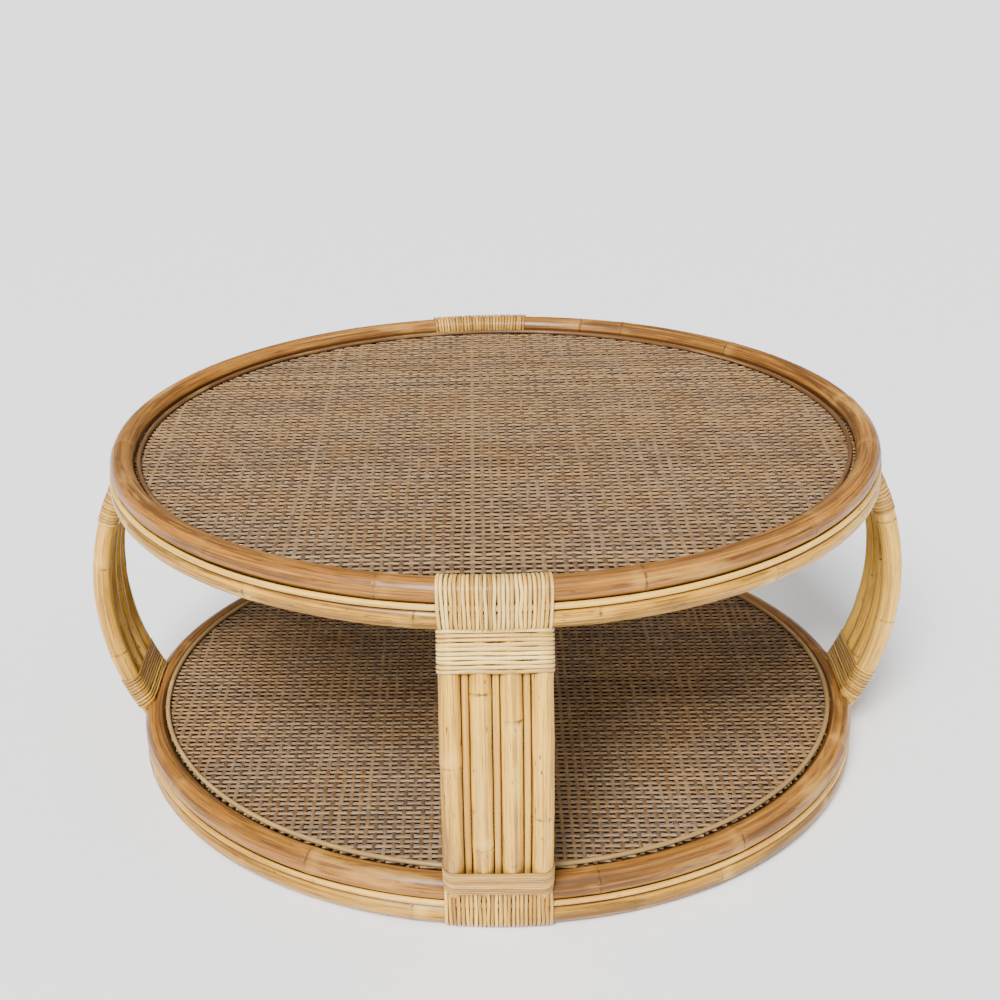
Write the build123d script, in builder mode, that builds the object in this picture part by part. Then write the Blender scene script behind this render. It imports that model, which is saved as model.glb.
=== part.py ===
from build123d import *
import os
from math import asin, atan2, cos, degrees, hypot, radians, sin, sqrt

# Round two-tier rattan coffee table, in millimetres. +Z is up, the floor is Z = 0 and the origin
# is under the middle of the table. The front leg stands at -Y and the right leg at +X.
# Each tier is a frame of two stacked, bent rattan poles with a slim cane laid in the groove
# between them. Cane webbing lies in the frame on a support ring and rails, and a round bead holds
# its edge down. Four bowed legs, each a bundle of four poles and three filler canes, are screwed
# between the tiers, and flat strands of cane bind every joint.

# ---- driving dimensions -------------------------------------------------------------------------
TABLE_HEIGHT = 405.5  # floor to the top of the upper rim
TOP_RADIUS = 450.0  # outside of the top frame's upper pole
SHELF_RADIUS = 439.8  # outside of the shelf frame's upper pole
FLOOR_GAP = 1.2  # bare shelf frame above the floor: the wrapped feet stand this much lower

TOP_UPPER_R = 14.0  # pole radii of the two frames
TOP_LOWER_R = 12.5
SHELF_UPPER_R = 15.0
SHELF_LOWER_R = 14.0
TOP_LOWER_STEP = 3.7  # the lower pole's centreline lies this much further out than the upper one's
SHELF_LOWER_STEP = 0.8
POLE_GAP = 0.2  # clearance between poles that lie against each other

GROOVE_CANE_R = 3.5
BEAD_R = 3.0
WEBBING_THICKNESS = 3.0
SUPPORT_RING_R = 11.0
RAIL_R = 12.0
TOP_WEBBING_DROP = 19.5  # below the top of the rim
SHELF_WEBBING_DROP = 3.2
RAIL_PITCH = 53.0  # between the two front-to-back rails
RAIL_SHIFT = -9.0  # of the pair from the table's middle, to the left

LEG_ARC_R = 302.8  # bow of a leg, to the pole centrelines
LEG_ARC_RHO = 173.0  # centre of that bow, from the table's axis
LEG_ARC_Z = 207.5  # and above the floor
BOW_END_TOP = 1.0  # degrees the bow stops short of the frame poles' centres, before coping
BOW_END_FOOT = 0.5
LEG_POLE_R = 11.5
LEG_POLE_PITCH = 29.8
LEG_POLES = 4
FILLER_R = 3.5

STRAND = 2.5  # thickness of a layer of wrapped strands
TOP_WRAPS = {"front": (-97.4, -82.6), "back": (82.6, 99.8)}  # degrees that the strand wraps span
FOOT_WRAPS = {"front": (-97.84, -82.16), "back": (82.16, 97.84)}
BINDING_LENGTH = 42.0  # along the leg, of the binding at each end
SIDE_TOP_BINDING_EXTRA = 14.0  # the side legs' top bindings reach this much further down
COPE_GAP = 0.15  # clearance of a pole end cut to fit another pole
BINDING_GAP = 0.1  # clearance inside a wrap or binding

SEAM_GAP = 0.3  # between the spliced piece's ends and the rest of its pole
BUTT_TURN = 0.075  # degrees of the table between the butted ends of a bent pole
SPLICE_START = 72.0  # degrees: the short pole piece spliced into the back of the upper rim
SPLICE_END = 97.6

LEG_SCREW_R = 2.0
LEG_SCREW_HEAD_R = 4.0
LEG_SCREW_GRIP = 26.0  # length of a leg screw inside the leg pole
RAIL_SCREW_R = 1.75
RAIL_SCREW_HEAD_R = 3.5
RAIL_SCREW_GRIP = 22.0
SCREW_GAP = 0.1
HOLE_SPARE = 1.0  # a hole is this much deeper than its screw
HEAD_TAPER = 45.0  # of a screw's countersunk head, in degrees
HEAD_SINK = 2.5  # the screw heads lie this far below the pole's surface

LEG_ANGLES = {"front": -90.0, "right": 0.0, "back": 90.0, "left": 180.0}
WRAPPED_LEGS = ("front", "back")

# ---- worked-out places --------------------------------------------------------------------------
TOP_UPPER = (TOP_RADIUS - TOP_UPPER_R, TABLE_HEIGHT - TOP_UPPER_R)
TOP_RISE = sqrt((TOP_UPPER_R + TOP_LOWER_R + POLE_GAP) ** 2 - TOP_LOWER_STEP**2)
TOP_LOWER = (TOP_UPPER[0] + TOP_LOWER_STEP, TOP_UPPER[1] - TOP_RISE)

SHELF_RISE = sqrt((SHELF_UPPER_R + SHELF_LOWER_R + POLE_GAP) ** 2 - SHELF_LOWER_STEP**2)
SHELF_LOWER = (SHELF_RADIUS - SHELF_UPPER_R + SHELF_LOWER_STEP, FLOOR_GAP + SHELF_LOWER_R)
SHELF_UPPER = (SHELF_RADIUS - SHELF_UPPER_R, SHELF_LOWER[1] + SHELF_RISE)

TOP_WEBBING_TOP = TABLE_HEIGHT - TOP_WEBBING_DROP
SHELF_WEBBING_TOP = SHELF_UPPER[1] + SHELF_UPPER_R - SHELF_WEBBING_DROP

POLE_OFFSETS = [(i - (LEG_POLES - 1) / 2) * LEG_POLE_PITCH for i in range(LEG_POLES)]
FILLER_OFFSETS = [(i - (LEG_POLES - 2) / 2) * LEG_POLE_PITCH for i in range(LEG_POLES - 1)]
FILLER_STEP = sqrt((LEG_POLE_R + FILLER_R + POLE_GAP) ** 2 - (LEG_POLE_PITCH / 2) ** 2)


def save(builder, name):
    """Label a finished piece and write it under its own name."""
    builder.part.label = name
    export_step(builder.part, f"parts/{name}.step")


def radial_plane(angle):
    """The upright plane through the table's axis: local x runs outwards and local y up."""
    a = radians(angle)
    return Plane(origin=(0, 0, 0), x_dir=(cos(a), sin(a), 0), z_dir=(sin(a), -cos(a), 0))


def leg_point(angle, offset, rho, z):
    """A point of a leg: offset is sideways from the leg's middle plane."""
    a = radians(angle)
    return Vector(rho * cos(a) + offset * sin(a), rho * sin(a) - offset * cos(a), z)


def leg_direction(angle, d_rho, d_z):
    a = radians(angle)
    return Vector(d_rho * cos(a), d_rho * sin(a), d_z)


def bow_plane(angle, offset, turn):
    """The plane across a leg's bow at turn degrees above the level of the bow's centre."""
    t = radians(turn)
    across = leg_direction(angle, cos(t), sin(t))
    sideways = radial_plane(angle).z_dir
    centre = leg_point(angle, offset, LEG_ARC_RHO, LEG_ARC_Z)
    return Plane(origin=centre, x_dir=across, z_dir=across.cross(sideways))


def bow_axis(angle):
    """The level axis that a leg bows round."""
    return Axis(leg_point(angle, 0, LEG_ARC_RHO, LEG_ARC_Z), radial_plane(angle).z_dir)


def bow_meets(ring, ring_radius, offset=0.0):
    """Where a leg's centreline enters a frame pole, in degrees of the bow."""
    rho = sqrt(ring[0] ** 2 - offset**2) - LEG_ARC_RHO
    z = ring[1] - LEG_ARC_Z
    far = hypot(rho, z)
    half = sqrt(max(ring_radius**2 - (far - LEG_ARC_R) ** 2, 0))
    turn = degrees(atan2(z, rho))
    return turn - degrees(asin(half / LEG_ARC_R)) * (1 if turn > 0 else -1)


# ---- screws -------------------------------------------------------------------------------------
def leg_screw_seat(angle, offset, ring, ring_radius):
    """The middle of a leg screw's head and the way it faces, out of the far side of the pole."""
    turn = radians(bow_meets(ring, ring_radius, offset))
    way = 1 if turn > 0 else -1
    start = (LEG_ARC_RHO + LEG_ARC_R * cos(turn), LEG_ARC_Z + LEG_ARC_R * sin(turn))
    along = (-sin(turn) * way, cos(turn) * way)
    to_centre = (sqrt(ring[0] ** 2 - offset**2) - start[0], ring[1] - start[1])
    run = 2 * (to_centre[0] * along[0] + to_centre[1] * along[1]) - HEAD_SINK
    point = leg_point(angle, offset, start[0] + along[0] * run, start[1] + along[1] * run)
    return Plane(origin=point, z_dir=leg_direction(angle, *along)), run


def leg_screw_seats(ring, ring_radius, legs=tuple(LEG_ANGLES)):
    return [
        leg_screw_seat(LEG_ANGLES[leg], offset, ring, ring_radius)
        for leg in legs
        for offset in POLE_OFFSETS
    ]


def screws(name, seats, radius, head_radius, grip):
    """Countersunk wood screws, one solid each, in one node."""
    with BuildPart() as group:
        for seat, run in seats:
            with BuildSketch(seat):
                Circle(radius)
            extrude(amount=-(run + grip))
            with BuildSketch(seat):
                Circle(head_radius)
            extrude(amount=-(head_radius - radius), taper=HEAD_TAPER)
    save(group, name)


def screw_holes(seats, radius, head_radius, grip):
    """Countersunk holes for screws, cut in the part being built."""
    for seat, run in seats:
        with Locations(seat):
            CounterSinkHole(
                radius=radius + SCREW_GAP,
                counter_sink_radius=head_radius + SCREW_GAP,
                depth=run + grip + HOLE_SPARE,
            )


TOP_LEG_SEATS = leg_screw_seats(TOP_LOWER, TOP_LOWER_R)
SHELF_LEG_SEATS = leg_screw_seats(SHELF_UPPER, SHELF_UPPER_R)


# ---- frames -------------------------------------------------------------------------------------
def ring_solid(
    centre, radius, start=90 + BUTT_TURN / 2, arc=360 - BUTT_TURN, mode=Mode.ADD, seam=0
):
    """A round pole bent round the table's axis, from start for arc degrees.

    Its surface's seam line lies on the outside, or seam degrees up from there."""
    with BuildSketch(radial_plane(start)) as section:
        with Locations(Location((*centre, 0), (0, 0, seam))):
            Circle(radius)
    revolve(section.sketch, axis=Axis.Z, revolution_arc=arc, mode=mode)


def frame_pole(name, centre, radius, seats=(), seam=0):
    """A frame pole: its ends are butted at the back, under the strand wrap."""
    with BuildPart() as pole:
        ring_solid(centre, radius, seam=seam)
        screw_holes(seats, LEG_SCREW_R, LEG_SCREW_HEAD_R, LEG_SCREW_GRIP)
    save(pole, name)


def upper_rim():
    """The top frame's upper pole, in two lengths: a short piece is spliced in at the back."""
    with BuildPart() as long_piece:
        ring_solid(TOP_UPPER, TOP_UPPER_R, SPLICE_END, 360 - SPLICE_END + SPLICE_START)
    save(long_piece, "top_upper_ring")
    seam = degrees(SEAM_GAP / TOP_UPPER[0])
    with BuildPart() as short_piece:
        ring_solid(
            TOP_UPPER, TOP_UPPER_R, SPLICE_START + seam, SPLICE_END - SPLICE_START - 2 * seam
        )
    save(short_piece, "top_upper_ring_splice")


def groove_centre(upper, upper_r, lower, lower_r):
    """Centre of the cane that lies in the outer groove between two stacked poles."""
    a = upper_r + GROOVE_CANE_R + POLE_GAP
    b = lower_r + GROOVE_CANE_R + POLE_GAP
    c = hypot(lower[0] - upper[0], lower[1] - upper[1])
    along = (a * a - b * b + c * c) / (2 * c)
    out = sqrt(a * a - along * along)
    ux, uz = (lower[0] - upper[0]) / c, (lower[1] - upper[1]) / c
    return (upper[0] + ux * along - uz * out, upper[1] + uz * along + ux * out)


def plain_ring(name, centre, radius):
    with BuildPart() as ring:
        ring_solid(centre, radius)
    save(ring, name)


def clear_of_pole(pole, pole_radius, z):
    """The radius out to which a piece at height z stays clear of a wrapped pole."""
    reach = pole_radius + STRAND + POLE_GAP
    return pole[0] - sqrt(max(reach**2 - (z - pole[1]) ** 2, 0))


def webbing(name, pole, pole_radius, top):
    """Woven cane sheet, as the closed disc that its strands fill."""
    low = top - WEBBING_THICKNESS
    radius = min(clear_of_pole(pole, pole_radius, z) for z in (low, pole[1], top) if low <= z <= top)
    with BuildPart() as sheet:
        with BuildSketch(Plane.XY.offset(low)):
            Circle(radius)
        extrude(amount=WEBBING_THICKNESS)
    save(sheet, name)


def bead_centre(pole, pole_radius, webbing_top):
    """The bead rests on the webbing, against the wrapped pole."""
    z = webbing_top + BEAD_R + POLE_GAP / 2
    reach = pole_radius + STRAND + POLE_GAP + BEAD_R
    return (pole[0] - sqrt(reach**2 - (z - pole[1]) ** 2), z)


# ---- rails under the webbing --------------------------------------------------------------------
def support_centre(hull_inside, webbing_top):
    z = webbing_top - WEBBING_THICKNESS - SUPPORT_RING_R - POLE_GAP / 2
    return (hull_inside - SUPPORT_RING_R - POLE_GAP, z)


TOP_SUPPORT = support_centre(TOP_UPPER[0] - TOP_UPPER_R - STRAND, TOP_WEBBING_TOP)
SHELF_SUPPORT = support_centre(SHELF_UPPER[0] - SHELF_UPPER_R - STRAND, SHELF_WEBBING_TOP)


def rail_height(webbing_top):
    return webbing_top - WEBBING_THICKNESS - RAIL_R - POLE_GAP / 2


def rail_screw_seats(support, webbing_top):
    """Heads on the outside of the support ring, one for each rail end."""
    z = rail_height(webbing_top)
    reach = support[0] + SUPPORT_RING_R - HEAD_SINK
    seats = []
    for side in (-1, 1):
        seats.append((Plane(origin=(side * reach, 0, z), z_dir=(side, 0, 0)), 2 * SUPPORT_RING_R))
    for x in rail_places():
        for side in (-1, 1):
            y = side * sqrt(reach**2 - x**2)
            seats.append((Plane(origin=(x, y, z), z_dir=(0, side, 0)), 2 * SUPPORT_RING_R))
    return seats


def rail_places():
    return [RAIL_SHIFT - RAIL_PITCH / 2, RAIL_SHIFT + RAIL_PITCH / 2]


def support_ring(name, support, webbing_top):
    with BuildPart() as ring:
        ring_solid(support, SUPPORT_RING_R, seam=90)
        screw_holes(
            rail_screw_seats(support, webbing_top), RAIL_SCREW_R, RAIL_SCREW_HEAD_R, RAIL_SCREW_GRIP
        )
    save(ring, name)


def cross_bar(name, support, webbing_top):
    """The left-to-right pole, coped to the support ring at both ends."""
    z = rail_height(webbing_top)
    with BuildPart() as bar:
        with BuildSketch(Plane.YZ.offset(-support[0])):
            with Locations((0, z)):
                Circle(RAIL_R)
        extrude(amount=2 * support[0])
        ring_solid(support, SUPPORT_RING_R + COPE_GAP, arc=360, mode=Mode.SUBTRACT)
        screw_holes(
            rail_screw_seats(support, webbing_top)[:2],
            RAIL_SCREW_R,
            RAIL_SCREW_HEAD_R,
            RAIL_SCREW_GRIP,
        )
    save(bar, name)


def half_rail(name, support, webbing_top, x, side):
    """Half of a front-to-back rail, coped to the cross bar and to the support ring."""
    z = rail_height(webbing_top)
    with BuildPart() as rail:
        with BuildSketch(Plane.XZ):
            with Locations((x, z)):
                Circle(RAIL_R)
        extrude(amount=-side * sqrt(support[0] ** 2 - x**2))
        with BuildSketch(Plane.YZ.offset(-support[0])):
            with Locations((0, z)):
                Circle(RAIL_R + COPE_GAP)
        extrude(amount=2 * support[0], mode=Mode.SUBTRACT)
        ring_solid(support, SUPPORT_RING_R + COPE_GAP, arc=360, mode=Mode.SUBTRACT)
        screw_holes(
            rail_screw_seats(support, webbing_top)[2:],
            RAIL_SCREW_R,
            RAIL_SCREW_HEAD_R,
            RAIL_SCREW_GRIP,
        )
    save(rail, name)


# ---- legs ---------------------------------------------------------------------------------------
def bow_solid(angle, offset, radius, low, high, step=0.0):
    """A round pole bowed like a leg, from low to high in degrees of the bow, step further out."""
    with BuildSketch(bow_plane(angle, offset, low)) as section:
        with Locations((LEG_ARC_R + step, 0)):
            Circle(radius)
    revolve(section.sketch, axis=bow_axis(angle), revolution_arc=high - low)


def cut_to_frames(leg):
    """Cope what is being built to the frame poles, or to the strands round them."""
    cover = STRAND if leg in WRAPPED_LEGS else 0.0
    ring_solid(TOP_LOWER, TOP_LOWER_R + cover + COPE_GAP, arc=360, mode=Mode.SUBTRACT)
    ring_solid(SHELF_UPPER, SHELF_UPPER_R + cover + COPE_GAP, arc=360, mode=Mode.SUBTRACT)


def leg_reach():
    """The bow's ends, just inside the frame poles, in degrees."""
    high = degrees(atan2(TOP_LOWER[1] - LEG_ARC_Z, TOP_LOWER[0] - LEG_ARC_RHO)) - BOW_END_TOP
    low = degrees(atan2(SHELF_UPPER[1] - LEG_ARC_Z, SHELF_UPPER[0] - LEG_ARC_RHO)) + BOW_END_FOOT
    return low, high


def leg_pole(leg, number, offset):
    low, high = leg_reach()
    angle = LEG_ANGLES[leg]
    ends = [
        leg_screw_seat(angle, offset, TOP_LOWER, TOP_LOWER_R),
        leg_screw_seat(angle, offset, SHELF_UPPER, SHELF_UPPER_R),
    ]
    with BuildPart() as pole:
        bow_solid(angle, offset, LEG_POLE_R, low, high)
        cut_to_frames(leg)
        screw_holes(ends, LEG_SCREW_R, LEG_SCREW_HEAD_R, LEG_SCREW_GRIP)
    save(pole, f"{leg}_leg_pole_{number}")


def leg_fillers(leg):
    """The three thin canes in the outer grooves between a leg's poles."""
    low, high = leg_reach()
    with BuildPart() as canes:
        for offset in FILLER_OFFSETS:
            bow_solid(LEG_ANGLES[leg], offset, FILLER_R, low, high, FILLER_STEP)
        cut_to_frames(leg)
    save(canes, f"{leg}_leg_filler_canes")


def binding(leg, end, start, length):
    """Strands wound round a leg's bundle, as the flat sleeve that they fill."""
    angle = LEG_ANGLES[leg]
    turn = degrees(length / LEG_ARC_R)
    spread = POLE_OFFSETS[-1] - POLE_OFFSETS[0]
    plane = bow_plane(angle, 0, start)
    with BuildPart() as sleeve:
        with BuildSketch(plane):
            with Locations((LEG_ARC_R, 0)):
                SlotCenterToCenter(spread, 2 * (LEG_POLE_R + STRAND), rotation=90)
                SlotCenterToCenter(
                    spread, 2 * (LEG_POLE_R + BINDING_GAP), rotation=90, mode=Mode.SUBTRACT
                )
        revolve(axis=bow_axis(angle), revolution_arc=turn)
        cut_to_frames(leg)
    save(sleeve, f"{leg}_leg_{end}_binding")


# ---- strand wraps round the frames --------------------------------------------------------------
def hull_sleeve(upper, upper_r, lower, lower_r, start, end):
    """A sleeve of strands drawn tight round both poles of a frame and its groove cane.

    It runs from start to end, in degrees round the table."""
    groove = groove_centre(upper, upper_r, lower, lower_r)
    for grow, mode in ((STRAND, Mode.ADD), (BINDING_GAP, Mode.SUBTRACT)):
        with BuildSketch(radial_plane(start)) as section:
            with Locations(upper):
                Circle(upper_r + grow)
            with Locations(lower):
                Circle(lower_r + grow)
            with Locations(groove):
                Circle(GROOVE_CANE_R + grow)
            make_hull()
        revolve(section.sketch, axis=Axis.Z, revolution_arc=end - start, mode=mode)


def top_wrap(leg):
    with BuildPart() as wrap:
        hull_sleeve(TOP_UPPER, TOP_UPPER_R, TOP_LOWER, TOP_LOWER_R, *TOP_WRAPS[leg])
        screw_holes(
            leg_screw_seats(TOP_LOWER, TOP_LOWER_R, (leg,)),
            LEG_SCREW_R,
            LEG_SCREW_HEAD_R,
            LEG_SCREW_GRIP,
        )
    save(wrap, f"{leg}_top_wrap")


def foot_wrap(leg):
    """The wrap round the shelf frame, worn flat underneath where the table stands on it."""
    with BuildPart() as wrap:
        hull_sleeve(SHELF_UPPER, SHELF_UPPER_R, SHELF_LOWER, SHELF_LOWER_R, *FOOT_WRAPS[leg])
        screw_holes(
            leg_screw_seats(SHELF_UPPER, SHELF_UPPER_R, (leg,)),
            LEG_SCREW_R,
            LEG_SCREW_HEAD_R,
            LEG_SCREW_GRIP,
        )
        split(bisect_by=Plane.XY, keep=Keep.TOP)
    save(wrap, f"{leg}_foot_wrap")


# ---- the table ----------------------------------------------------------------------------------
os.makedirs("parts", exist_ok=True)

upper_rim()
frame_pole("top_lower_ring", TOP_LOWER, TOP_LOWER_R, TOP_LEG_SEATS, seam=45)
frame_pole("shelf_upper_ring", SHELF_UPPER, SHELF_UPPER_R, SHELF_LEG_SEATS, seam=-45)
frame_pole("shelf_lower_ring", SHELF_LOWER, SHELF_LOWER_R)
plain_ring(
    "top_groove_cane", groove_centre(TOP_UPPER, TOP_UPPER_R, TOP_LOWER, TOP_LOWER_R), GROOVE_CANE_R
)
plain_ring(
    "shelf_groove_cane",
    groove_centre(SHELF_UPPER, SHELF_UPPER_R, SHELF_LOWER, SHELF_LOWER_R),
    GROOVE_CANE_R,
)

TIERS = {
    "top": (TOP_UPPER, TOP_UPPER_R, TOP_WEBBING_TOP, TOP_SUPPORT),
    "shelf": (SHELF_UPPER, SHELF_UPPER_R, SHELF_WEBBING_TOP, SHELF_SUPPORT),
}
for tier, (pole, pole_r, webbing_top, support) in TIERS.items():
    webbing(f"{tier}_webbing", pole, pole_r, webbing_top)
    plain_ring(f"{tier}_bead", bead_centre(pole, pole_r, webbing_top), BEAD_R)
    support_ring(f"{tier}_support_ring", support, webbing_top)
    cross_bar(f"{tier}_cross_bar", support, webbing_top)
    for side_name, x in zip(("left", "right"), rail_places()):
        half_rail(f"{tier}_front_rail_{side_name}", support, webbing_top, x, -1)
        half_rail(f"{tier}_back_rail_{side_name}", support, webbing_top, x, 1)
    screws(
        f"{tier}_rail_screws",
        rail_screw_seats(support, webbing_top),
        RAIL_SCREW_R,
        RAIL_SCREW_HEAD_R,
        RAIL_SCREW_GRIP,
    )

screws("top_leg_screws", TOP_LEG_SEATS, LEG_SCREW_R, LEG_SCREW_HEAD_R, LEG_SCREW_GRIP)
screws("shelf_leg_screws", SHELF_LEG_SEATS, LEG_SCREW_R, LEG_SCREW_HEAD_R, LEG_SCREW_GRIP)

TOP_BINDING_END = bow_meets(TOP_LOWER, TOP_LOWER_R)
FOOT_BINDING_START = bow_meets(SHELF_UPPER, SHELF_UPPER_R)
for leg in LEG_ANGLES:
    for number, offset in enumerate(POLE_OFFSETS, start=1):
        leg_pole(leg, number, offset)
    leg_fillers(leg)
    extra = 0.0 if leg in WRAPPED_LEGS else SIDE_TOP_BINDING_EXTRA
    top_length = BINDING_LENGTH + extra
    binding(leg, "top", TOP_BINDING_END - degrees(top_length / LEG_ARC_R), top_length)
    binding(leg, "foot", FOOT_BINDING_START, BINDING_LENGTH)
for leg in WRAPPED_LEGS:
    top_wrap(leg)
    foot_wrap(leg)
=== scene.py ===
import math

import bpy
import numpy as np
from mathutils import Matrix, Vector


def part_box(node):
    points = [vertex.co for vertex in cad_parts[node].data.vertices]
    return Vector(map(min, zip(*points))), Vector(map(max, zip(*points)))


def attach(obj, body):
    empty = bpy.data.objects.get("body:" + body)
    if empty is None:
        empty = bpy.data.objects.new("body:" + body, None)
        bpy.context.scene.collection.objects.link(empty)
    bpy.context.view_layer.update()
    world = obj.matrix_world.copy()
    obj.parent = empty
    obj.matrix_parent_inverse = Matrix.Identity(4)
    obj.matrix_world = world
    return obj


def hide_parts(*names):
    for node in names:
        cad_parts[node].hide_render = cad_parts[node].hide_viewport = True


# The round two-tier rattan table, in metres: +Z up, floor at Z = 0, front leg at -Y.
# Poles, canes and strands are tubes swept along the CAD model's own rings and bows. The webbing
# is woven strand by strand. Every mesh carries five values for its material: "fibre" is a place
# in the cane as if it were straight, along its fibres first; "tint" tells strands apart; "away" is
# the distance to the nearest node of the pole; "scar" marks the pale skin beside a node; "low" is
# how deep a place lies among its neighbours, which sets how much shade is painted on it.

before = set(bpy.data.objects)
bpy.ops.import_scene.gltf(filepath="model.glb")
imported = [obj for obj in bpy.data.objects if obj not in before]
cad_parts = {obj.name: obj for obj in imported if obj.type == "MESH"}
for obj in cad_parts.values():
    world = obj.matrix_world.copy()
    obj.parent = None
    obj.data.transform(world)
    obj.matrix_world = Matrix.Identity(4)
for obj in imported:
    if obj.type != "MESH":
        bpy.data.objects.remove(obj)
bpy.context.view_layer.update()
rng = np.random.default_rng(4051)

# ---- sizes, most of them the CAD model's --------------------------------------------------------
BOW_RADIUS = 0.3028  # of a leg's bow, to its pole centrelines
BOW_RHO = 0.173  # centre of the bow, from the table's axis
BOW_Z = 0.2075
POLE_OFFSETS = (-0.0447, -0.0149, 0.0149, 0.0447)
FILLER_OFFSETS = (-0.0298, 0.0, 0.0298)
LEG_POLE_R = 0.0115
FILLER_R = 0.0035
FILLER_STEP = 0.0029
STRAND = 0.0025  # thickness of a strand round a frame
BINDING_STRAND = 0.0016  # thickness of a strand round a leg
BINDING_PULL = 0.0005  # its middle is this far off the poles, which it presses into
TOP_WRAPS = {"front": (-97.4, -82.6), "back": (82.6, 99.8)}  # degrees that the wraps span
FOOT_WRAPS = {"front": (-97.4, -82.6), "back": (82.6, 97.4)}  # a little less than the CAD sleeves
WRAP_TAPER = 0.055  # a top wrap is this much narrower, as a share, at its foot
WRAP_PITCH = 0.0043  # from strand to strand round a frame
BINDING_LENGTH = 0.042
SIDE_BINDING_LENGTH = 0.056
COPE_GAP = 0.00015
FAR = 0.06  # "away" stops growing at this distance from a node

LOOSE = 0.0003  # a pole wanders about this far, and is thinner than the CAD model's by as much
FILLER_LOOSE = 0.0001
SWELL = 0.0004  # how much a pole swells at a node
SWELL_LENGTH = 0.007
NOTCH_DEPTH = 0.35  # of the line in the middle of the swelling, as a share of it
NOTCH_LENGTH = 0.0012
SCAR_FROM_NODE = 0.009
SCAR_LENGTH = 0.008
BROAD_CREVICE = 0.45  # how dark the wider, weaker part of a crevice's painted shade is
BROAD_CREVICE_SPREAD = 0.12

LEG_ANGLES = {"front": -90.0, "right": 0.0, "back": 90.0, "left": 180.0}


def ring_of(node):
    """(centre radius, centre height, pole radius) of a ring-shaped CAD node."""
    low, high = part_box(node)
    radius = (high.z - low.z) / 2
    return high.x - radius, (high.z + low.z) / 2, radius


TOP_UPPER = ring_of("top_upper_ring")
TOP_LOWER = ring_of("top_lower_ring")
SHELF_UPPER = ring_of("shelf_upper_ring")
SHELF_LOWER = ring_of("shelf_lower_ring")
TOP_GROOVE = ring_of("top_groove_cane")
SHELF_GROOVE = ring_of("shelf_groove_cane")


# ---- materials ----------------------------------------------------------------------------------
def linear(*rgb):
    """An sRGB colour of 0 to 255, as a shader takes it."""
    part = np.array(rgb) / 255
    value = np.where(part <= 0.04045, part / 12.92, ((part + 0.055) / 1.055) ** 2.4)
    return (*value.tolist(), 1.0)


def new_material(name):
    made = bpy.data.materials.new(name)
    made.use_nodes = True
    return made, made.node_tree, made.node_tree.nodes["Principled BSDF"]


def put(tree, kind, inputs, output=0, **settings):
    """Adds a shader node and returns one of its outputs. An input is a socket or a value."""
    node = tree.nodes.new("ShaderNode" + kind)
    for key, value in settings.items():
        setattr(node, key, value)
    for key, given in inputs.items():
        if isinstance(given, bpy.types.NodeSocket):
            tree.links.new(given, node.inputs[key])
        else:
            node.inputs[key].default_value = given
    return node.outputs[output]


def attribute(tree, name, output="Fac"):
    return put(tree, "Attribute", {}, output, attribute_name=name)


def maths(tree, operation, first, second=0.0):
    return put(tree, "Math", {0: first, 1: second}, operation=operation)


def between(tree, value, low, high, to_low=0.0, to_high=1.0):
    """value from low to high as a smooth step from to_low to to_high."""
    inputs = {"Value": value, "From Min": low, "From Max": high, "To Min": to_low, "To Max": to_high}
    return put(tree, "MapRange", inputs, interpolation_type="SMOOTHSTEP")


def mix(tree, factor, first, second, blend="MIX"):
    inputs = {0: factor, 6: first, 7: second}
    return put(tree, "Mix", inputs, 2, data_type="RGBA", blend_type=blend)


def noise(tree, place, stretch, detail=3.0, rough=0.55, warp=0.0):
    """Noise of the place, stretched per axis: stretch is waves per metre along x, y and z."""
    scaled = put(tree, "VectorMath", {0: place, 1: stretch}, operation="MULTIPLY")
    inputs = {
        "Vector": scaled,
        "Scale": 1.0,
        "Detail": detail,
        "Roughness": rough,
        "Distortion": warp,
    }
    return put(tree, "TexNoise", inputs)


def finish_shader(tree, shader, colour, rough, height, depth, coat):
    """Colour, roughness and bump of a cane's skin under its lacquer."""
    tree.links.new(colour, shader.inputs["Base Color"])
    tree.links.new(rough, shader.inputs["Roughness"])
    inputs = {"Strength": 0.6, "Distance": depth, "Height": height}
    tree.links.new(put(tree, "Bump", inputs), shader.inputs["Normal"])
    shader.inputs["Specular IOR Level"].default_value = 0.2
    shader.inputs["Coat Weight"].default_value = coat
    shader.inputs["Coat Roughness"].default_value = 0.2


CREVICE_SHADE_COLOUR = linear(66, 38, 16)  # painted shade in the crevices between poles
NODE_WOBBLE = 0.0022  # a node's ring strays this far along its pole


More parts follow.
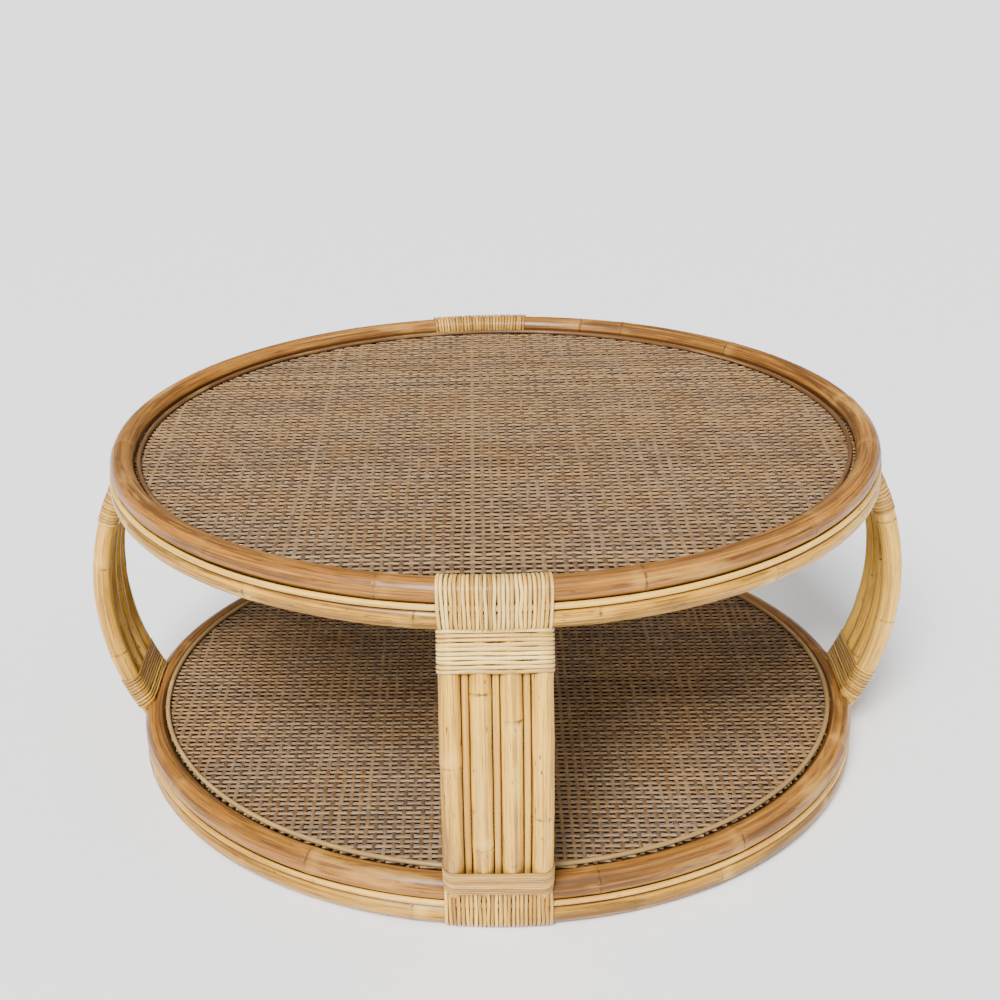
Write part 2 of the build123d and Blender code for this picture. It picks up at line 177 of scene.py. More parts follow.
def cane(name, skin, streak, pale, knot, streaks=0.55, mottle=0.35, coat=0.3, rough=0.42, spots=0.0):
    """A rattan pole or cane: fibre streaks, slow mottling, nodes and their pale scars, and knots."""
    made, tree, shader = new_material(name)
    fibre = attribute(tree, "fibre", "Vector")
    fine = noise(tree, fibre, (9.0, 480.0, 480.0), 5.0, 0.75, 0.3)
    broad = noise(tree, fibre, (2.5, 140.0, 140.0), 3.0, 0.6, 0.6)
    cloud = noise(tree, fibre, (6.0, 38.0, 38.0), 4.0, 0.65)
    colour = mix(tree, between(tree, broad, 0.44, 0.66, 0.0, streaks), skin, streak)
    colour = mix(tree, between(tree, fine, 0.49, 0.61, 0.0, streaks), colour, streak)
    colour = mix(tree, between(tree, fine, 0.46, 0.32, 0.0, 0.6 * streaks), colour, pale)
    colour = mix(tree, between(tree, cloud, 0.52, 0.72, 0.0, mottle), colour, pale)
    colour = mix(tree, between(tree, cloud, 0.48, 0.32, 0.0, mottle), colour, streak)
    tint = attribute(tree, "tint")
    colour = mix(tree, maths(tree, "MAXIMUM", tint), colour, pale)
    colour = mix(tree, maths(tree, "MAXIMUM", maths(tree, "MULTIPLY", tint, -1.0)), colour, streak)
    scar = maths(tree, "MULTIPLY", attribute(tree, "scar"), between(tree, cloud, 0.35, 0.65))
    colour = mix(tree, maths(tree, "MULTIPLY", scar, 0.4), colour, pale)
    wobble = noise(tree, fibre, (60.0, 260.0, 260.0), 2.0)
    wavy = maths(tree, "ADD", attribute(tree, "away"), maths(tree, "MULTIPLY", wobble, -NODE_WOBBLE))
    broken = between(tree, noise(tree, fibre, (30.0, 130.0, 130.0), 2.0), 0.42, 0.66, 0.05, 0.7)
    line = maths(tree, "MULTIPLY", between(tree, wavy, 0.0008, -0.0006), broken)
    colour = mix(tree, line, colour, knot)
    flecks = noise(tree, fibre, (70.0, 330.0, 330.0), 1.0, 0.5)
    fleck = between(tree, flecks, 0.70, 0.77, 0.0, spots)
    colour = mix(tree, fleck, colour, knot)
    # Painted shade: darker where "low" is high, deep in a crevice between poles or on a wound
    # strand's sides and underside.
    low = maths(tree, "ADD", attribute(tree, "low"), maths(tree, "MULTIPLY", cloud, 0.3))
    colour = mix(tree, between(tree, low, 0.42, 0.75, 0.0, 0.8), colour, CREVICE_SHADE_COLOUR)
    height = maths(tree, "ADD", fine, maths(tree, "MULTIPLY", line, -1.5))
    gloss = between(tree, broad, 0.3, 0.7, rough - 0.08, rough + 0.1)
    finish_shader(tree, shader, colour, gloss, height, 0.0004, coat)
    return made


def straight_cane(name, skin, streak, pale, stretch):
    """A plain pole that lies along one axis of the table, so its fibres follow the table's axes."""
    made, tree, shader = new_material(name)
    place = put(tree, "TexCoord", {}, "Object")
    fine = noise(tree, place, stretch, 4.0, 0.6, 0.4)
    cloud = noise(tree, place, (14.0, 14.0, 14.0), 3.0, 0.6)
    colour = mix(tree, between(tree, fine, 0.4, 0.7), skin, streak)
    colour = mix(tree, between(tree, cloud, 0.45, 0.7, 0.0, 0.6), colour, pale)
    finish_shader(tree, shader, colour, between(tree, fine, 0.3, 0.7, 0.45, 0.65), fine, 0.0004, 0.1)
    return made


def webbing_cane():
    """Woven flat cane: a pale face, rubbed paler in places, with the weft painted paler as a
    highlight, and painted shade low on the strands' sides.
    """
    made, tree, shader = new_material("cane_webbing")
    fibre = attribute(tree, "fibre", "Vector")
    fine = noise(tree, fibre, (16.0, 1400.0, 1400.0), 3.0, 0.6)
    cloud = noise(tree, fibre, (34.0, 90.0, 90.0), 3.0, 0.6)
    place = put(tree, "TexCoord", {}, "Object")
    patch = noise(tree, place, (13.0, 13.0, 13.0), 4.0, 0.6)
    stain, wear_and_highlight = linear(72, 50, 34), linear(178, 145, 102)
    face = mix(tree, between(tree, patch, 0.4, 0.62), linear(94, 75, 59), linear(108, 79, 49))
    colour = mix(tree, between(tree, fine, 0.46, 0.66, 0.0, 0.7), face, stain)
    colour = mix(tree, between(tree, cloud, 0.46, 0.66, 0.0, 0.35), colour, wear_and_highlight)
    colour = mix(tree, between(tree, cloud, 0.46, 0.28, 0.0, 0.4), colour, stain)
    tint = attribute(tree, "tint")
    # A strand's tint mixes towards the pale colour, which on the weft is a painted highlight, or
    # towards the stain.
    colour = mix(tree, maths(tree, "MAXIMUM", tint), colour, wear_and_highlight)
    colour = mix(tree, maths(tree, "MAXIMUM", maths(tree, "MULTIPLY", tint, -1.0)), colour, stain)
    # Painted shade: the strands' sides, low in the weave, darkened almost to black so that the holes
    # look dark.
    low = attribute(tree, "low")
    painted_shade = maths(tree, "MULTIPLY", between(tree, low, 0.24, 0.44), between(tree, low, 0.94, 0.88))
    colour = mix(tree, maths(tree, "MULTIPLY", painted_shade, 0.97), colour, linear(34, 21, 12))
    gloss = between(tree, cloud, 0.3, 0.7, 0.5, 0.7)
    finish_shader(tree, shader, colour, gloss, fine, 0.0003, 0.0)
    return made


def screw_steel():
    made, tree, shader = new_material("screw_steel")
    place = put(tree, "TexCoord", {}, "Object")
    scratch = noise(tree, place, (900.0, 900.0, 900.0), 3.0)
    stain = noise(tree, place, (160.0, 160.0, 160.0), 2.0)
    colour = mix(tree, between(tree, stain, 0.4, 0.7), linear(176, 174, 168), linear(128, 120, 104))
    shader.inputs["Metallic"].default_value = 1.0
    gloss = between(tree, scratch, 0.3, 0.7, 0.25, 0.5)
    finish_shader(tree, shader, colour, gloss, scratch, 0.0001, 0.0)
    return made


def floor_paper():
    made, tree, shader = new_material("floor_paper")
    place = put(tree, "TexCoord", {}, "Object")
    tooth = noise(tree, place, (40.0, 40.0, 40.0), 2.0)
    colour = mix(tree, between(tree, tooth, 0.2, 0.8), linear(250, 250, 250), linear(253, 253, 253))
    tree.links.new(colour, shader.inputs["Base Color"])
    shader.inputs["Roughness"].default_value = 0.9
    shader.inputs["Specular IOR Level"].default_value = 0.1
    return made


PALE = linear(247, 204, 98)
DARK_KNOT = linear(48, 26, 12)
BARE = (linear(128, 82, 40), linear(84, 50, 22), linear(160, 112, 60))  # of the hidden poles

MATERIALS = {
    "amber_pole": cane(
        "amber_pole", linear(156, 102, 38), linear(80, 50, 24), linear(208, 156, 76), DARK_KNOT,
        streaks=0.85, mottle=0.55, coat=0.22, rough=0.4, spots=0.4,
    ),
    "straw_pole": cane(
        "straw_pole", linear(208, 150, 46), linear(98, 66, 24), PALE, DARK_KNOT,
        streaks=0.85, mottle=0.6, coat=0.22, rough=0.42, spots=0.6,
    ),
    "leg_pole": cane(
        "leg_pole", linear(240, 180, 62), linear(124, 86, 42), PALE, DARK_KNOT,
        streaks=0.7, mottle=0.55, coat=0.22, rough=0.42, spots=0.8,
    ),
    "groove_cane": cane(
        "groove_cane", linear(240, 190, 88), linear(168, 112, 40), PALE, DARK_KNOT,
        streaks=0.6, mottle=0.5, coat=0.25, rough=0.4, spots=0.4,
    ),
    "filler_cane": cane(
        "filler_cane", linear(226, 172, 70), linear(160, 108, 36), PALE, DARK_KNOT,
        streaks=0.5, mottle=0.4, coat=0.3, rough=0.45,
    ),
    "bead_cane": cane(
        "bead_cane", linear(104, 70, 40), linear(70, 44, 24), linear(246, 210, 134), DARK_KNOT,
        streaks=0.5, mottle=0.3, coat=0.2, rough=0.5,
    ),
    "wrapped_strands": cane(
        "wrapped_strands", linear(246, 190, 80), linear(122, 80, 34), linear(255, 227, 144),
        DARK_KNOT, streaks=0.7, mottle=0.5, coat=0.5, rough=0.32, spots=0.3,
    ),
    "cane_webbing": webbing_cane(),
    "hidden_pole": straight_cane("hidden_pole", *BARE, (120.0, 120.0, 120.0)),
    "screw_steel": screw_steel(),
}
HIDDEN_ALONG_X = straight_cane("hidden_pole_along_x", *BARE, (8.0, 500.0, 500.0))
HIDDEN_ALONG_Y = straight_cane("hidden_pole_along_y", *BARE, (500.0, 8.0, 500.0))


# ---- meshes -------------------------------------------------------------------------------------
class Sweep:
    """Gathers swept tubes and makes one piece of them."""

    def __init__(self):
        self.places, self.quads, self.ends = [], [], []
        self.fibres, self.tints, self.aways, self.scars, self.lows = [], [], [], [], []
        self.count = 0

    def add(self, grid, fibre, closed=False, tint=0.0, away=None, scar=None, low=None):
        """A tube as sections by points by 3, closed on itself or with flat ends."""
        sections, around = grid.shape[:2]
        index = np.arange(sections * around).reshape(sections, around) + self.count
        if closed:
            index_next = np.roll(index, -1, axis=0)
            start = index
        else:
            start, index_next = index[:-1], index[1:]
            self.ends.append(index[0, ::-1].tolist())
            self.ends.append(index[-1].tolist())
        beside, beside_next = np.roll(start, -1, axis=1), np.roll(index_next, -1, axis=1)
        quads = np.stack([start, beside, beside_next, index_next], axis=-1)
        self.quads.append(quads.reshape(-1, 4))
        self.places.append(grid.reshape(-1, 3))
        self.fibres.append(fibre.reshape(-1, 3))
        flat = sections * around
        self.tints.append(np.full(flat, tint))
        self.aways.append(np.full(flat, FAR) if away is None else away.reshape(-1))
        self.scars.append(np.zeros(flat) if scar is None else scar.reshape(-1))
        self.lows.append(np.zeros(flat) if low is None else low.reshape(-1))
        self.count += flat

    def piece(self, name, slot, *nodes):
        """The object of all that was added: it stands for the CAD nodes and rides with them."""
        quads = np.concatenate(self.quads)
        corners = np.concatenate([quads.reshape(-1)] + [np.array(end) for end in self.ends])
        sizes = np.concatenate([np.full(len(quads), 4), [len(end) for end in self.ends]])
        mesh = bpy.data.meshes.new(name)
        mesh.vertices.add(self.count)
        mesh.vertices.foreach_set("co", np.concatenate(self.places).astype(np.float32).ravel())
        mesh.loops.add(len(corners))
        mesh.loops.foreach_set("vertex_index", corners.astype(np.int32))
        mesh.polygons.add(len(sizes))
        starts = np.concatenate([[0], np.cumsum(sizes)[:-1]])
        mesh.polygons.foreach_set("loop_start", starts.astype(np.int32))
        mesh.polygons.foreach_set("use_smooth", np.concatenate(
            [np.ones(len(quads), bool), np.zeros(len(self.ends), bool)]
        ))
        mesh.update(calc_edges=True)
        mesh.validate()
        values = {"tint": self.tints, "away": self.aways, "scar": self.scars, "low": self.lows}
        for key, parts in values.items():
            layer = mesh.attributes.new(key, "FLOAT", "POINT")
            layer.data.foreach_set("value", np.concatenate(parts).astype(np.float32))
        layer = mesh.attributes.new("fibre", "FLOAT_VECTOR", "POINT")
        layer.data.foreach_set("vector", np.concatenate(self.fibres).astype(np.float32).ravel())
        mesh.materials.append(MATERIALS[slot])
        made = bpy.data.objects.new(name, mesh)
        bpy.context.scene.collection.objects.link(made)
        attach(made, "root")
        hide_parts(*nodes)


def fibre_grid(along, across, lift):
    """Fibre coordinates of a tube, shifted so that no two tubes have the same streaks."""
    shift = rng.uniform(-20, 20, 3)
    along = np.broadcast_to(along, across.shape)
    return np.stack([along + shift[0], across + shift[1], lift + shift[2]], axis=-1)


def wander(turns, size, seed):
    """A slow smooth wobble of a closed ring, at the given turns in radians."""
    own = np.random.default_rng(seed)
    total = np.zeros_like(turns)
    for waves in range(3, 14):
        total += own.normal() / waves * np.cos(waves * turns + own.uniform(0, 2 * np.pi))
    return total * size


def node_values(along, places, length, seed):
    """Distance to the nearest node, its scar and the pole's swelling, along a pole.

    length is the way round a closed ring, or 0 for a pole with ends."""
    own = np.random.default_rng(seed)
    away = np.full(along.shape, FAR)
    scar = np.zeros(along.shape)
    swell = np.zeros(along.shape)
    for place in places:
        apart = along - place
        if length:
            apart = (apart + length / 2) % length - length / 2
        side = own.choice((-1, 1))
        away = np.minimum(away, np.abs(apart))
        scar += np.exp(-(((apart * side - SCAR_FROM_NODE) / SCAR_LENGTH) ** 2))
        swell += np.exp(-((apart / SWELL_LENGTH) ** 2))
        swell -= NOTCH_DEPTH * np.exp(-((apart / NOTCH_LENGTH) ** 2))
    return away, np.clip(scar, 0, 1), swell


def crevice(centre, neighbours, across, lift, spread=0.04):
    """How deep each point of a pole's round section lies in the crevices beside its neighbours,
    which sets how much shade is painted on it.
    """
    low = np.zeros(len(across))
    for place in neighbours:
        toward = np.array((place[0] - centre[0], place[1] - centre[1]))
        toward /= np.hypot(*toward)
        facing = across * toward[0] + lift * toward[1]
        low = np.maximum(low, np.exp((facing - 1) / spread))
        # The broad term paints soft shade over the side of the pole that faces a neighbour.
        low = np.maximum(low, BROAD_CREVICE * np.exp((facing - 1) / BROAD_CREVICE_SPREAD))
    return low


def round_outline(count):
    turn = np.arange(count) * 2 * np.pi / count
    return np.cos(turn), np.sin(turn)


# ---- rings --------------------------------------------------------------------------------------
RING_STEP = 0.004  # from section to section, away from the nodes
NEAR_RING_NODE = np.array((-12, -8, -5, -3, -2, -1.2, -0.6, 0, 0.6, 1.2, 2, 3, 5, 8, 12)) / 1000


def ring_turns(rho, start, end, nodes):
    """Section angles of a ring in degrees, closer together beside its nodes."""
    turns = [np.linspace(start, end, int(abs(end - start) * rho * np.pi / 180 / RING_STEP) + 1)]
    for place in nodes:
        turns.append(place + np.degrees(NEAR_RING_NODE / rho))
    every = np.unique(np.round(np.concatenate(turns), 5))
    return every[(every >= min(start, end)) & (every <= max(start, end))]


def ring_pole(name, slot, node, ring, nodes=(), start=-180.0, end=180.0, around=32, tint=0.0,
              seed=1, beside=(), spread=0.04):
    """A bent pole of a frame, closed if it runs all the way round. beside lists the rings by it."""
    rho, z, radius = ring
    closed = abs(end - start) >= 360
    turns = ring_turns(rho, start, end, nodes)
    if closed:
        turns = turns[:-1]
    angle = np.radians(turns)
    length = 2 * np.pi * rho if closed else 0.0
    away, scar, bulge = node_values(
        angle * rho, [math.radians(n) * rho for n in nodes], length, seed
    )
    thick = radius + SWELL * bulge - LOOSE + wander(angle, LOOSE, seed)
    centre = rho + wander(angle, LOOSE, seed + 1)
    level = z + wander(angle, LOOSE, seed + 2)
    across, lift = round_outline(around)
    out = centre[:, None] + thick[:, None] * across[None, :]
    high = level[:, None] + thick[:, None] * lift[None, :]
    grid = np.stack([
        out * np.cos(angle)[:, None],
        out * np.sin(angle)[:, None],
        high,
    ], axis=-1)
    grid = grid[:, ::-1]
    fibre = fibre_grid(
        (angle * rho)[:, None],
        (thick[:, None] * across)[:, ::-1],
        (thick[:, None] * lift)[:, ::-1],
    )
    sweep = Sweep()
    apart = np.broadcast_to(away[:, None], grid.shape[:2])
    scars = np.broadcast_to(scar[:, None], grid.shape[:2])
    deep = crevice(ring, beside, across, lift, spread)[::-1]
    sweep.add(grid, fibre, closed, tint, apart, scars, np.broadcast_to(deep, grid.shape[:2]))
    sweep.piece(name, slot, node)


SPLICE_START, SPLICE_END = 72.0, 97.6  # degrees that the rim's spliced piece spans
SPLICE_GAP = 0.04  # degrees of a seam at each of its ends
TOP_UPPER_NODES = (-174, -131, -105, -71, -43, -12, 8, 42, 64, 118, 132, 155)
TOP_LOWER_NODES = (-152, -124, -100, -77, -51, -20, 12, 47, 81, 113, 149)
SHELF_UPPER_NODES = (-148, -118, -76, -53, -22, 9, 38, 70, 101, 133, 164)
SHELF_LOWER_NODES = (-160, -131, -102, -71, -57, -30, 2, 33, 66, 98, 127, 158)

TOP_BEAD = ring_of("top_bead")
SHELF_BEAD = ring_of("shelf_bead")
TOP_RIM_BESIDE = (TOP_LOWER, TOP_GROOVE, TOP_BEAD)
SHELF_RIM_BESIDE = (SHELF_LOWER, SHELF_GROOVE, SHELF_BEAD)

ring_pole("top_rim_pole", "amber_pole", "top_upper_ring", TOP_UPPER, TOP_UPPER_NODES,
          start=SPLICE_END - 360, end=SPLICE_START, seed=11, beside=TOP_RIM_BESIDE)
ring_pole("top_rim_splice", "amber_pole", "top_upper_ring_splice", TOP_UPPER, tint=-0.25, seed=12,
          start=SPLICE_START + SPLICE_GAP, end=SPLICE_END - SPLICE_GAP, beside=TOP_RIM_BESIDE)
ring_pole("top_lower_pole", "straw_pole", "top_lower_ring", TOP_LOWER, TOP_LOWER_NODES, seed=21,
          beside=(TOP_UPPER, TOP_GROOVE))
ring_pole("shelf_rim_pole", "amber_pole", "shelf_upper_ring", SHELF_UPPER, SHELF_UPPER_NODES,
          tint=0.02, seed=31, beside=SHELF_RIM_BESIDE)
ring_pole("shelf_lower_pole", "straw_pole", "shelf_lower_ring", SHELF_LOWER, SHELF_LOWER_NODES,
          tint=-0.35, seed=41, beside=(SHELF_UPPER, SHELF_GROOVE))
ring_pole("top_groove_strip", "groove_cane", "top_groove_cane", TOP_GROOVE, around=16, seed=51,
          beside=(TOP_UPPER, TOP_LOWER), spread=0.06)
ring_pole("shelf_groove_strip", "groove_cane", "shelf_groove_cane", SHELF_GROOVE, around=16,
          seed=61, beside=(SHELF_UPPER, SHELF_LOWER), spread=0.06)
ring_pole("top_edge_bead", "bead_cane", "top_bead", TOP_BEAD, around=14, seed=71,
          beside=(TOP_UPPER,), spread=0.12)
ring_pole("shelf_edge_bead", "bead_cane", "shelf_bead", SHELF_BEAD, around=14, tint=0.22,
          seed=81, beside=(SHELF_UPPER,), spread=0.06)


# ---- legs ---------------------------------------------------------------------------------------
TOP_SEARCH = (0.35, math.radians(31))  # bow turns, outside and inside the pole that is searched for
FOOT_SEARCH = (-0.40, math.radians(-34))
CENTRE_SEARCH = (0.35, math.radians(34))
HALVINGS = 40
LEG_SECTIONS = 121
COPED_SHARE = 0.25  # of a leg pole at each end, over which its sections turn to fit the cope
NEAR_LEG_NODE = np.array((-8, -4, -2, -1, 0, 1, 2, 4, 8)) / 1000
POLE_CREVICE, FILLER_CREVICE = 0.02, 0.07  # how far the painted shade spreads out of the crevices


def leg_axes(leg):
    """Unit vectors out of the table and sideways along it, at a leg."""
    turn = math.radians(LEG_ANGLES[leg])
    out = np.array((math.cos(turn), math.sin(turn), 0.0))
    side = np.array((math.sin(turn), -math.cos(turn), 0.0))
    return out, side


def bow_place(leg, turn, offset, proud):
    """A place on a leg: turn along its bow in radians, offset sideways, proud of its centreline."""
    out, side = leg_axes(leg)
    reach = BOW_RADIUS + proud
    rho = BOW_RHO + reach * np.cos(turn)
    z = BOW_Z + reach * np.sin(turn)
    return rho[..., None] * out + offset[..., None] * side + z[..., None] * np.array((0, 0, 1.0))


def meets(leg, offset, proud, ring, gap, low, high):
    """The bow turns at which lines of a leg pole reach a frame pole, by halving low to high."""
    rho, z, radius = ring
    near, far = np.full(offset.shape, low), np.full(offset.shape, high)
    for _ in range(HALVINGS):
        turn = (near + far) / 2
        place = bow_place(leg, turn, offset, proud)
        level = np.hypot(place[..., 0], place[..., 1])
        inside = np.hypot(level - rho, place[..., 2] - z) < radius + gap
        far = np.where(inside, turn, far)
        near = np.where(inside, near, turn)
    return near


def bow_tube(sweep, leg, offset, proud, radius, around, nodes, seed, tint, beside, loose, spread):
    """A pole or cane of a leg, its ends coped to the frame poles. beside lists its neighbours."""
    across, lift = round_outline(around)
    side, rise = offset + radius * across, proud + radius * lift
    top = meets(leg, side, rise, TOP_LOWER, COPE_GAP, *TOP_SEARCH)
    foot = meets(leg, side, rise, SHELF_UPPER, COPE_GAP, *FOOT_SEARCH)
    share = np.linspace(0, 1, LEG_SECTIONS)
    places = [math.radians(n) * BOW_RADIUS for n in nodes]
    near = NEAR_LEG_NODE / BOW_RADIUS
    for place in nodes:
        wanted = (math.radians(place) + near - foot.mean()) / (top.mean() - foot.mean())
        share = np.concatenate([share, wanted[(wanted > 0) & (wanted < 1)]])
    share = np.unique(np.round(share, 6))
    ends = np.clip((share - (1 - COPED_SHARE)) / COPED_SHARE, 0, 1) ** 2
    starts = np.clip((COPED_SHARE - share) / COPED_SHARE, 0, 1) ** 2
    middle = foot.mean() + (top.mean() - foot.mean()) * share
    cope_top, cope_foot = top - top.mean(), foot - foot.mean()
    turn = middle[:, None] + ends[:, None] * cope_top + starts[:, None] * cope_foot
    away, scar, bulge = node_values(middle * BOW_RADIUS, places, 0.0, seed)
    drift = wander(middle * 4, loose, seed)
    thick = radius + SWELL * bulge - loose + drift
    grid = bow_place(
        leg, turn, offset + thick[:, None] * across, proud + thick[:, None] * lift
    )
    fibre = fibre_grid(
        (middle * BOW_RADIUS)[:, None], thick[:, None] * across, thick[:, None] * lift
    )
    apart = np.broadcast_to(away[:, None], grid.shape[:2])
    scars = np.broadcast_to(scar[:, None], grid.shape[:2])
    deep = crevice((offset, proud), beside, across, lift, spread)
    sweep.add(grid, fibre, False, tint, apart, scars, np.broadcast_to(deep, grid.shape[:2]))


LEG_NODES = {  # bow turns in degrees, pole by pole
    "front": ((-8, 21), (-20, 12), (-15.8, 17), (3,)),
    "right": ((-12, 9), (-3,), (4, -22), (-9, 16)),
    "back": ((6,), (-14, 15), (-4,), (11, -19)),
    "left": ((-15.5, 7), (-11,), (-4, 18), (0, -21)),
}
for leg in LEG_ANGLES:
    for number, offset in enumerate(POLE_OFFSETS, start=1):
        pole = Sweep()
        seed = 100 + 10 * list(LEG_ANGLES).index(leg) + number
        tint = float(rng.uniform(-0.18, 0.22))
        beside = [(f, FILLER_STEP) for f in FILLER_OFFSETS if abs(f - offset) < 2 * LEG_POLE_R]
        nodes = LEG_NODES[leg][number - 1]
        bow_tube(
            pole, leg, offset, 0.0, LEG_POLE_R, 28, nodes, seed, tint, beside, LOOSE, POLE_CREVICE
        )
        pole.piece(f"{leg}_pole_{number}", "leg_pole", f"{leg}_leg_pole_{number}")
    canes = Sweep()
    for offset in FILLER_OFFSETS:
        tint = float(rng.uniform(-0.2, 0.25))
        beside = [(p, 0.0) for p in POLE_OFFSETS if abs(p - offset) < 2 * LEG_POLE_R]
        bow_tube(
            canes, leg, offset, FILLER_STEP, FILLER_R, 14, (), 7, tint, beside, FILLER_LOOSE,
            FILLER_CREVICE,
        )
    canes.piece(f"{leg}_fillers", "filler_cane", f"{leg}_leg_filler_canes")


# ---- strands wound round things -----------------------------------------------------------------
LOOP_POINTS = 128
STRAND_FILL = (0.82, 0.93)  # a strand's width, as a share of the pitch
STRAND_FLAT = (0.9, 1.0)  # its thickness, as a share of the full one
STRAND_TILT, STRAND_WAVE = 0.07, 0.05  # how far it strays once and four times round, in pitches
PHASES = 6.28  # a random phase lies below this, in radians
SHADE_SPREAD = 0.2  # of the strands' tints
WRAP_CLEARANCE = 0.0001
FLOOR_CLEARANCE = 0.0002  # no strand reaches lower, because the table stands on its foot wraps


def hull_loop(circles, grow, count):
    """A strand's centreline drawn tight round circles of (x, y, radius).

    It starts in the middle of the side that faces -x. Returns its points, their normals, how far
    along it they lie, and its length."""
    turn = np.radians(np.arange(180, 540, 0.5))
    normal = np.stack([np.cos(turn), np.sin(turn)], axis=-1)
    reach = np.stack([normal @ np.array(c[:2]) + c[2] for c in circles])
    best = reach.argmax(axis=0)
    centres, radii = np.array([c[:2] for c in circles]), np.array([c[2] for c in circles])
    points = centres[best] + (radii[best] + grow)[:, None] * normal
    closed = np.concatenate([points, points[:1]])
    run = np.concatenate([[0], np.cumsum(np.hypot(*np.diff(closed, axis=0).T))])
    at = np.linspace(0, run[-1], count, endpoint=False)
    place = np.stack([np.interp(at, run, closed[:, i]) for i in (0, 1)], axis=-1)
    ahead, behind = np.roll(place, -1, axis=0), np.roll(place, 1, axis=0)
    along = ahead - behind
    along /= np.hypot(*along.T)[:, None]
    return place, np.stack([along[:, 1], -along[:, 0]], axis=-1), at, run[-1]


def strand_section(width, thickness):
    """A flat strand's section: across its width, and up from its middle, with a round face."""
    across = np.array((-0.5, -0.43, -0.25, 0.0, 0.25, 0.43, 0.5, 0.42, 0.0, -0.42)) * width
    lift = np.array((-0.15, 0.2, 0.42, 0.5, 0.42, 0.2, -0.15, -0.47, -0.5, -0.47)) * thickness
    return across, lift


def winding(sweep, place, normal, at, total, to_world, first, pitch, turns, thickness, tint):
    """Flat strands wound in turns side by side, each a little uneven.

    to_world takes the loop's coordinates and a place along the axis that they are wound on."""
    count = len(at)
    share = at / total
    for turn in range(turns):
        width = pitch * rng.uniform(*STRAND_FILL)
        across, lift = strand_section(width, thickness)
        lift = lift * rng.uniform(*STRAND_FLAT)
        # Painted shade: "low" darkens each strand's sides and underside, in the gaps between
        # strands.
        low = np.broadcast_to(0.5 - lift / thickness, (count, len(lift)))
        tilt = rng.normal(0, STRAND_TILT) * pitch * np.cos(
            2 * np.pi * share + rng.uniform(0, PHASES)
        )
        tilt += rng.normal(0, STRAND_WAVE) * pitch * np.cos(
            8 * np.pi * share + rng.uniform(0, PHASES)
        )
        axis = first + pitch * (turn + 0.5) + tilt
        out = place[:, None, :] + normal[:, None, :] * lift[None, :, None]
        grid = to_world(out, axis[:, None] + across[None, :])
        fibre = fibre_grid(
            at[:, None] + turn * total,
            np.broadcast_to(across[None, :], (count, len(across))),
            np.broadcast_to(lift[None, :], (count, len(across))),
        )
        shade = float(np.clip(rng.normal(tint, SHADE_SPREAD), -0.6, 0.6))
        sweep.add(grid, fibre, True, shade, low=low)


def leg_binding(leg, end, start, length, turns, tint):
    """The strands round a leg's bundle, from a bow turn in radians upwards."""
    circles = [(0.0, offset, LEG_POLE_R) for offset in (POLE_OFFSETS[0], POLE_OFFSETS[-1])]
    loop = hull_loop(circles, BINDING_PULL, LOOP_POINTS)
    pitch = length / turns

    def to_world(out, axis):
        shape = np.broadcast_shapes(out.shape[:-1], axis.shape)
        turn = np.broadcast_to(start + axis / BOW_RADIUS, shape)
        return bow_place(leg, turn, out[..., 1], out[..., 0])

    strands = Sweep()
    winding(strands, *loop, to_world, 0.0, pitch, turns, BINDING_STRAND, tint)
    strands.piece(f"{leg}_{end}_binding", "wrapped_strands", f"{leg}_leg_{end}_binding")


def bow_reaches(ring):
    """The bow turn at which a leg's centreline enters a frame pole."""
    way = 1 if ring[1] > BOW_Z else -1
    zero = np.zeros(1)
    low, high = CENTRE_SEARCH
    return float(meets("front", zero, zero, ring, 0.0, way * low, way * high)[0])


TOP_END = bow_reaches(TOP_LOWER)
FOOT_END = bow_reaches(SHELF_UPPER)
FOOT_TINT = -0.45
TOP_TINTS = {"front": 0.15, "right": -0.25, "back": -0.25, "left": -0.25}
BINDING_TURNS, SIDE_BINDING_TURNS = 10, 13
for leg in LEG_ANGLES:
    side_leg = leg in ("left", "right")
    length = SIDE_BINDING_LENGTH if side_leg else BINDING_LENGTH
    turns = SIDE_BINDING_TURNS if side_leg else BINDING_TURNS
    leg_binding(leg, "top", TOP_END - length / BOW_RADIUS, length, turns, TOP_TINTS[leg])
    leg_binding(leg, "foot", FOOT_END, BINDING_LENGTH, BINDING_TURNS, FOOT_TINT)


def frame_wrap(name, node, span, upper, lower, groove, taper, tint):
    """The strands round both poles of a frame and its groove cane, over span in degrees."""
    loop = hull_loop((upper, lower, groove), STRAND / 2 + WRAP_CLEARANCE, LOOP_POINTS)
    start, end = np.radians(span)
    middle, reach = (start + end) / 2, upper[0] + upper[2]
    head, foot = upper[1] + upper[2], lower[1] - lower[2]

    def to_world(out, axis):
        down = (head - out[..., 1]) / (head - foot)
        angle = middle + axis * (1 - taper * down) / reach
        high = np.broadcast_to(np.maximum(out[..., 1], FLOOR_CLEARANCE), angle.shape)
        return np.stack([out[..., 0] * np.cos(angle), out[..., 0] * np.sin(angle), high], axis=-1)

    strands = Sweep()
    width = (end - start) * reach
    turns = round(width / WRAP_PITCH)
    winding(strands, *loop, to_world, -width / 2, width / turns, turns, STRAND, tint)
    strands.piece(name, "wrapped_strands", node)


frame_wrap("front_top_strands", "front_top_wrap", TOP_WRAPS["front"], TOP_UPPER, TOP_LOWER,
           TOP_GROOVE, WRAP_TAPER, 0.15)
frame_wrap("back_top_strands", "back_top_wrap", TOP_WRAPS["back"], TOP_UPPER, TOP_LOWER,
           TOP_GROOVE, WRAP_TAPER, -0.4)
for leg, span in FOOT_WRAPS.items():
    frame_wrap(f"{leg}_foot_strands", f"{leg}_foot_wrap", span, SHELF_UPPER, SHELF_LOWER,
               SHELF_GROOVE, 0.0, -0.2)


